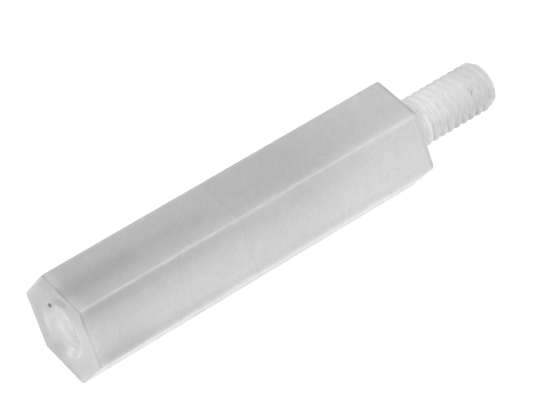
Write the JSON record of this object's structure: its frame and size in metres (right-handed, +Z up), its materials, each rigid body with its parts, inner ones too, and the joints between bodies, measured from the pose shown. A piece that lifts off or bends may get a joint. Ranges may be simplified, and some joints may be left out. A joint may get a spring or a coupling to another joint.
{
  "type": "hex standoff",
  "caption": "Hexagonal spacer moulded in natural nylon, with a blind threaded socket in one end and a threaded stud on the other, for holding boards apart.",
  "frame": {"origin": "centre of the socket face, on the axis of the threads", "axes": "+X runs along the axis from the socket face to the stud's tip, +Z is up with the part lying on one of its flats, and +Y completes the right-handed frame"},
  "size_m": [0.028, 0.0062, 0.0054],
  "materials": {
    "natural_nylon": "undyed moulded nylon, milky and slightly translucent, with a soft satin sheen"
  },
  "bodies": {
    "root": {"standoff": "natural_nylon"}
  },
  "joints": []
}
